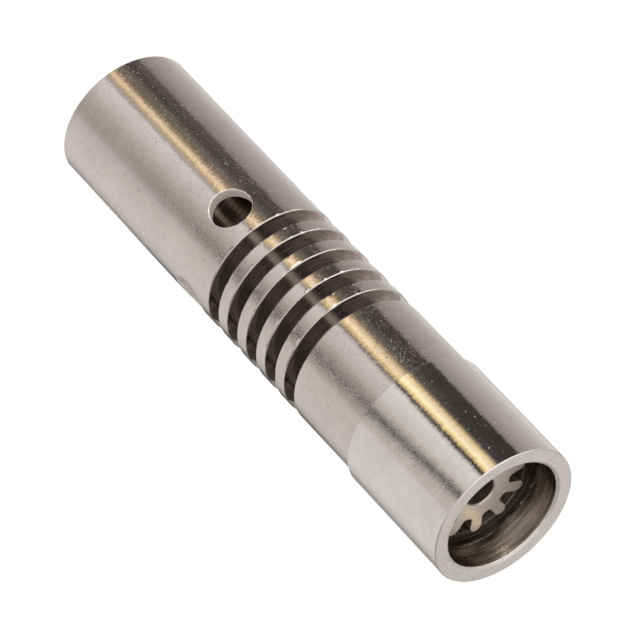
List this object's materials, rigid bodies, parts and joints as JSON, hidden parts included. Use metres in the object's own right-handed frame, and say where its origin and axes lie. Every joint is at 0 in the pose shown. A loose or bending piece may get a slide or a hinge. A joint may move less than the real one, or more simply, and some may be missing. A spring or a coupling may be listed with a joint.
{
  "type": "torch burner tube",
  "caption": "Plated turned burner tube with a raised collar at the mouth, cooling grooves, radial air holes and a toothed flame-holding disc pressed inside the mouth.",
  "frame": {"origin": "centre of the rear end face, on the tube's axis", "axes": "+Z along the tube's axis from the rear end to the mouth; +X along one air hole"},
  "size_m": [0.0148, 0.0148, 0.0597],
  "materials": {
    "plated_tube": "bright nickel plate over fine turning marks, faintly pitted on the body",
    "plated_disc": "satin plate on a pressed disc"
  },
  "bodies": {
    "root": {"burner_tube": "plated_tube", "flame_disc": "plated_disc"}
  },
  "joints": []
}
